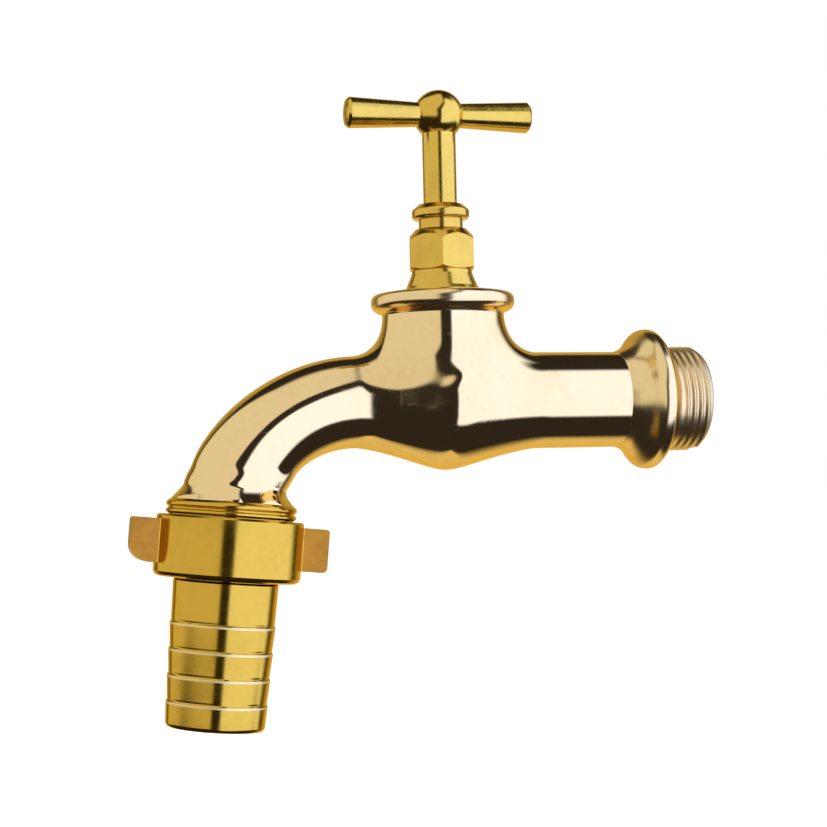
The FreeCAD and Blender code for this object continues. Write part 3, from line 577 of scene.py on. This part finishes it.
def use_group(shader, tree, values):
    node = shader.tree.nodes.new("ShaderNodeGroup")
    node.node_tree = tree
    for socket, value in values.items():
        shader.feed(node.inputs[socket], value)
    return node.outputs


def start_material(name):
    material = bpy.data.materials.new(name)
    material.use_nodes = True
    material.node_tree.nodes.clear()
    shader = Shader(material.node_tree)
    principled = shader.add("BsdfPrincipled")
    output = shader.add("OutputMaterial")
    shader.feed(output.inputs["Surface"], principled.outputs[0])
    return material, shader, principled.inputs


# pale colour painted on the barb crests as a painted highlight, standing in for light caught there
CREST_HIGHLIGHT_PAINT = (0.95, 0.80, 0.45, 1)
CAST_BRIGHT = (0.46, 0.20, 0.008, 1)
CAST_DULL = (0.34, 0.14, 0.006, 1)
NO_RIDGES = (1.0, 1.0, 0.0)
TARNISH_AMOUNT = 0.35
TOOL_FEED = 0.3 * MM


def brass(name, bright, dull, edge, roughness, axis, finish="polished", bump=0.1,
          spread=0.12, lacquer=0.0, ridges=None, beyond=1.0):
    """Brass in one of two finishes: polished all over, or turned about an axis.

    Ridges with a painted highlight in their colour, also made rougher, start and repeat as given by ridges; metal
    beyond a radius is left as cast.
    """
    material, s, surface = start_material(name)
    origin, direction = axis
    place = use_group(s, axis_group, {"Origin": origin, "Direction": direction})
    tarnish = use_group(s, tarnish_group, {
        "Place": place["Place"], "Amount": TARNISH_AMOUNT, "Bright": (*bright, 1),
        "Dull": (*dull, 1)})
    if finish == "polished":
        marks = use_group(s, scratch_group, {"Place": place["Place"]})
    else:
        marks = use_group(s, lathe_group, {
            "Along": place["Along"], "Radius": place["Radius"], "Place": place["Place"],
            "Pitch": TOOL_FEED})
    rough = s.math("MULTIPLY_ADD", marks["Marks"], spread, roughness)
    rough = s.math("MULTIPLY_ADD", tarnish["Dullness"], spread * 0.6, rough, clamp=True)
    colour = tarnish["Color"]
    if finish != "polished":
        start, step, width = ridges or NO_RIDGES
        crest_masks = use_group(s, crest_and_cast_group, {
            "Along": place["Along"], "Radius": place["Radius"], "Start": start, "Pitch": step,
            "Width": width, "Beyond": beyond})
        # paints the crests of the ridges a pale colour as a painted highlight
        colour = s.mix(crest_masks["Ridges"], colour, CREST_HIGHLIGHT_PAINT)
        cast = s.mix(tarnish["Dullness"], CAST_BRIGHT, CAST_DULL)
        colour = s.mix(crest_masks["Outside"], colour, cast)
        rough = s.math("MULTIPLY_ADD", crest_masks["Ridges"], 0.34, rough, clamp=True)
        rough = s.math("MULTIPLY_ADD", crest_masks["Outside"], 0.12, rough, clamp=True)
    raised = s.add("Bump", {"Height": marks["Height"], "Strength": bump, "Distance": 0.00005})
    surface["Metallic"].default_value = 1.0
    surface["Specular Tint"].default_value = (*edge, 1)
    surface["Coat Weight"].default_value = lacquer
    surface["Coat IOR"].default_value = 1.8
    surface["Coat Roughness"].default_value = 0.1
    s.feed(surface["Base Color"], colour)
    s.feed(surface["Roughness"], rough)
    s.feed(surface["Normal"], raised.outputs[0])
    return material


def dull_stuff(name, base, worn, roughness, size=1500.0, metallic=0.0, bump=0.3):
    """Rubber, fibre, graphite or spring wire."""
    material, s, surface = start_material(name)
    place = use_group(s, axis_group, {})
    grit = use_group(s, grit_group, {"Place": place["Place"], "Size": size,
                                     "Base": (*base, 1), "Worn": (*worn, 1)})
    raised = s.add("Bump", {"Height": grit["Height"], "Strength": bump, "Distance": 0.0001})
    surface["Metallic"].default_value = metallic
    s.feed(surface["Base Color"], grit["Color"])
    s.feed(surface["Roughness"], s.math("MULTIPLY_ADD", grit["Grain"], 0.15, roughness))
    s.feed(surface["Normal"], raised.outputs[0])
    return material


POLISHED = {"bright": (0.88, 0.70, 0.40), "dull": (0.70, 0.48, 0.20), "edge": (1.0, 0.78, 0.35),
            "roughness": 0.07, "spread": 0.05}
BUFFED = {"bright": (0.88, 0.70, 0.40), "dull": (0.74, 0.52, 0.24), "edge": (1.0, 0.78, 0.35),
          "roughness": 0.19, "spread": 0.06}
TURNED = {"bright": (0.74, 0.50, 0.06), "dull": (0.52, 0.31, 0.04), "edge": (1.0, 0.80, 0.40),
          "roughness": 0.13, "bump": 0.035, "lacquer": 0.5}
SATIN = {"bright": (0.66, 0.42, 0.045), "dull": (0.44, 0.25, 0.02), "edge": (1.0, 0.80, 0.35),
         "roughness": 0.11, "bump": 0.045, "spread": 0.07, "lacquer": 0.2}
PALE = {"bright": (0.86, 0.70, 0.42), "dull": (0.66, 0.48, 0.22), "edge": (1.0, 0.84, 0.55),
        "roughness": 0.26, "bump": 0.06}

materials = {
    "body": brass("polished_brass_body", axis=pipe_axis, **POLISHED),
    "bonnet": brass("turned_brass_bonnet", axis=spindle_axis, finish="turned", **TURNED),
    "gland_nut": brass("turned_brass_gland", axis=spindle_axis, finish="turned", **TURNED),
    "spindle": brass("turned_brass_spindle", axis=spindle_axis, finish="turned", **TURNED),
    "tee_handle": brass("turned_brass_handle", axis=handle_axis, finish="turned", **TURNED),
    "union_nut": brass("satin_brass_nut", axis=outlet_axis, finish="turned",
                       beyond=LUG_START * MM, **SATIN),
    "hose_tail": brass("satin_brass_tail", axis=outlet_axis, finish="turned",
                       ridges=((BARB_START + BARB_CREST - OUTLET_FACE) * MM, BARB_PITCH * MM,
                               0.32 * MM), **SATIN),
}
inner_brass = brass("turned_brass_inner", axis=spindle_axis, finish="turned", **TURNED)
rubber = dull_stuff("black_rubber_moulded", (0.02, 0.02, 0.02), (0.06, 0.06, 0.055), 0.55)
fibre = dull_stuff("red_fibre_pressed", (0.40, 0.07, 0.04), (0.28, 0.09, 0.06), 0.6)
graphite = dull_stuff("graphite_braid", (0.05, 0.05, 0.055), (0.12, 0.12, 0.12), 0.4, 2500.0)
steel = dull_stuff("spring_steel_wire", (0.55, 0.55, 0.56), (0.40, 0.40, 0.41), 0.25, 900.0,
                   1.0, 0.1)
by_slot = {"black_rubber": rubber, "red_fibre": fibre, "graphite_packing": graphite,
           "spring_steel": steel}
slots = {part["node"]: part["material_slot"] for part in frame["record"]["subparts"]}

inlet_turned = brass("turned_brass_inlet", axis=pipe_axis, finish="turned", **PALE)
outlet_turned = brass("turned_brass_outlet", axis=outlet_axis, finish="turned", **SATIN)
buffed_brass = brass("polished_brass_collar", axis=pipe_axis, **BUFFED)
make_body_skin(materials["body"])
make_body_ends(buffed_brass, inlet_turned, outlet_turned)
make_seat_bridge(inner_brass)
make_hose_tail_piece(materials["hose_tail"])

for name, node in frame["nodes"].items():
    finish = materials.get(name) or by_slot.get(slots[name], inner_brass)
    for slot in node.material_slots:
        slot.link = "OBJECT"
        slot.material = finish

# ---------------------------------------------------------------- stage

FLOOR_SIZE = 12.0
FLOOR_BACK = 4.0
FLOOR_DROP = 0.12
bpy.ops.mesh.primitive_plane_add(size=FLOOR_SIZE, location=(0, FLOOR_BACK, cad_low.z - FLOOR_DROP))
floor = bpy.context.object
floor.name = "floor"
floor.visible_glossy = False
paper, s, surface = start_material("white_paper")
surface["Roughness"].default_value = 0.9
surface["Base Color"].default_value = (0.95, 0.95, 0.95, 1)
surface["Emission Color"].default_value = (1, 1, 1, 1)
surface["Emission Strength"].default_value = 0.6
floor.data.materials.append(paper)

# ---------------------------------------------------------------- camera

CAMERA_AZIMUTH = math.radians(-15.83)
CAMERA_ELEVATION = math.radians(-1.96)
CAMERA_ROLL = math.radians(-1.306)
CAMERA_DISTANCE = 465.7 * MM
CAMERA_TARGET = tap_centre + Vector((-8.13, 0, -2.92)) * MM
CAMERA_LENS = 82.46

a, e, r = CAMERA_AZIMUTH, CAMERA_ELEVATION, CAMERA_ROLL
back = Vector((math.sin(a) * math.cos(e), -math.cos(a) * math.cos(e), math.sin(e)))
right = Vector((math.cos(a), math.sin(a), 0))
up = back.cross(right)
rolled_right = math.cos(r) * right + math.sin(r) * up
rolled_up = -math.sin(r) * right + math.cos(r) * up
lens = bpy.data.cameras.new("camera")
lens.lens = CAMERA_LENS
lens.sensor_width = 36.0
camera = bpy.data.objects.new("camera", lens)
bpy.context.scene.collection.objects.link(camera)
place = CAMERA_TARGET + back * CAMERA_DISTANCE
camera.matrix_world = Matrix((
    (rolled_right.x, rolled_up.x, back.x, place.x),
    (rolled_right.y, rolled_up.y, back.y, place.y),
    (rolled_right.z, rolled_up.z, back.z, place.z),
    (0, 0, 0, 1)))
bpy.context.scene.camera = camera

# ---------------------------------------------------------------- studio light

# light colours, and panel edges as (where the fade starts, where it ends) in degrees or as
# parts of a unit direction
DARK_ROOM = (0.030, 0.025, 0.022, 1)
WHITE_PANEL = (1.25, 1.36, 1.85, 1)
TAN_PANEL = (0.86, 0.80, 0.66, 1)
BACK_WALL_ABOVE = (0.58, 0.46, 0.17, 1)
BACK_WALL_BELOW = (0.86, 0.66, 0.27, 1)
WHITE_LEFT = (-0.05, 0.03)
WHITE_RIGHT = (112.0, 132.0)
WHITE_TOP = (66.0, 76.0)
WHITE_FOOT = (-46.0, -38.0)
TAN_RIGHT = (-0.40, -0.32)
TAN_BACK = (-0.3, -0.05)
TAN_WRAP = (-0.65, -0.25)
TAN_FOOT = (-22.0, -10.0)
BACK_SIDES = (125.0, 160.0)
BACK_ABOVE = (132.0, 142.0)
BACK_BELOW = (-96.0, -86.0)
LEAN_START = 0.3


def make_world():
    """A dark room: a white panel front right, a tan one front left, a gold wall behind."""
    world = bpy.data.worlds.new("studio")
    world.use_nodes = True
    tree = world.node_tree
    tree.nodes.clear()
    s = Shader(tree)

    def share(*masks):
        product = masks[0]
        for mask in masks[1:]:
            product = s.math("MULTIPLY", product, mask)
        return product

    def lean(slope, most):
        """How far a panel's side edge has moved to the right at this height."""
        return s.math("MINIMUM", s.math("MULTIPLY", rise, slope), most)

    direction = s.add("TexCoord").outputs["Generated"]
    to_camera = Vector((back.x, back.y, 0)).normalized()
    sideways = Vector((right.x, right.y, 0)).normalized()
    degrees = 180 / math.pi
    front = s.vector("DOT_PRODUCT", direction, to_camera)
    side = s.vector("DOT_PRODUCT", direction, sideways)
    ahead = s.vector("DOT_PRODUCT", direction, (0, -1, 0))
    along = s.vector("DOT_PRODUCT", direction, (1, 0, 0))
    height = s.vector("DOT_PRODUCT", direction, (0, 0, 1))
    # how far round from the camera's side, either way
    turn = s.math("MULTIPLY", s.math("ARCTAN2", side, front), degrees)
    away = s.math("ABSOLUTE", turn)
    # how far up or down, wrapping round the ends of the tap
    reach = s.math("SQRT", s.math("MULTIPLY_ADD", s.math("MULTIPLY", along, along), 0.12,
                                  s.math("MULTIPLY", ahead, ahead)))
    climb = s.math("MULTIPLY", s.math("ARCTAN2", height, reach), degrees)
    # how far round the pipe: 0 in front, 90 overhead, 180 behind, -90 below
    roll = s.math("MULTIPLY", s.math("ARCTAN2", height, ahead), degrees)
    rise = s.math("MAXIMUM", s.math("SUBTRACT", height, LEAN_START), 0.0)

    # both panels lean over to the right as they rise, and the left one reaches overhead
    white_side = s.math("SUBTRACT", along, lean(0.76, 0.3))
    tan_side = s.math("SUBTRACT", along, lean(1.08, 0.55))
    white = share(s.between(white_side, *WHITE_LEFT), s.between(away, *WHITE_RIGHT, 1.0, 0.0),
                  s.between(climb, *WHITE_FOOT), s.between(climb, *WHITE_TOP, 1.0, 0.0))
    # far to the left the tan panel also wraps round towards the back
    wrapped = s.math("ADD", ahead, s.between(along, *TAN_WRAP, 0.75, 0.0))
    tan = share(s.between(wrapped, *TAN_BACK), s.between(tan_side, *TAN_RIGHT, 1.0, 0.0),
                s.between(climb, *TAN_FOOT))
    back_wall = s.between(away, *BACK_SIDES)
    above = share(s.between(roll, *BACK_ABOVE), back_wall)
    below = share(s.between(roll, *BACK_BELOW, 1.0, 0.0), back_wall)

    colour = DARK_ROOM
    for mask, light in ((above, BACK_WALL_ABOVE), (below, BACK_WALL_BELOW), (white, WHITE_PANEL),
                        (tan, TAN_PANEL)):
        colour = s.mix(mask, colour, light)
    seen = s.add("LightPath").outputs["Is Camera Ray"]
    colour = s.mix(seen, colour, (1, 1, 1, 1))
    glow = s.add("Background", {"Color": colour, "Strength": 1.0})
    out = s.add("OutputWorld")
    s.feed(out.inputs["Surface"], glow.outputs[0])
    return world


bpy.context.scene.world = make_world()
bpy.context.scene.view_settings.view_transform = "Standard"
bpy.context.scene.view_settings.look = "None"
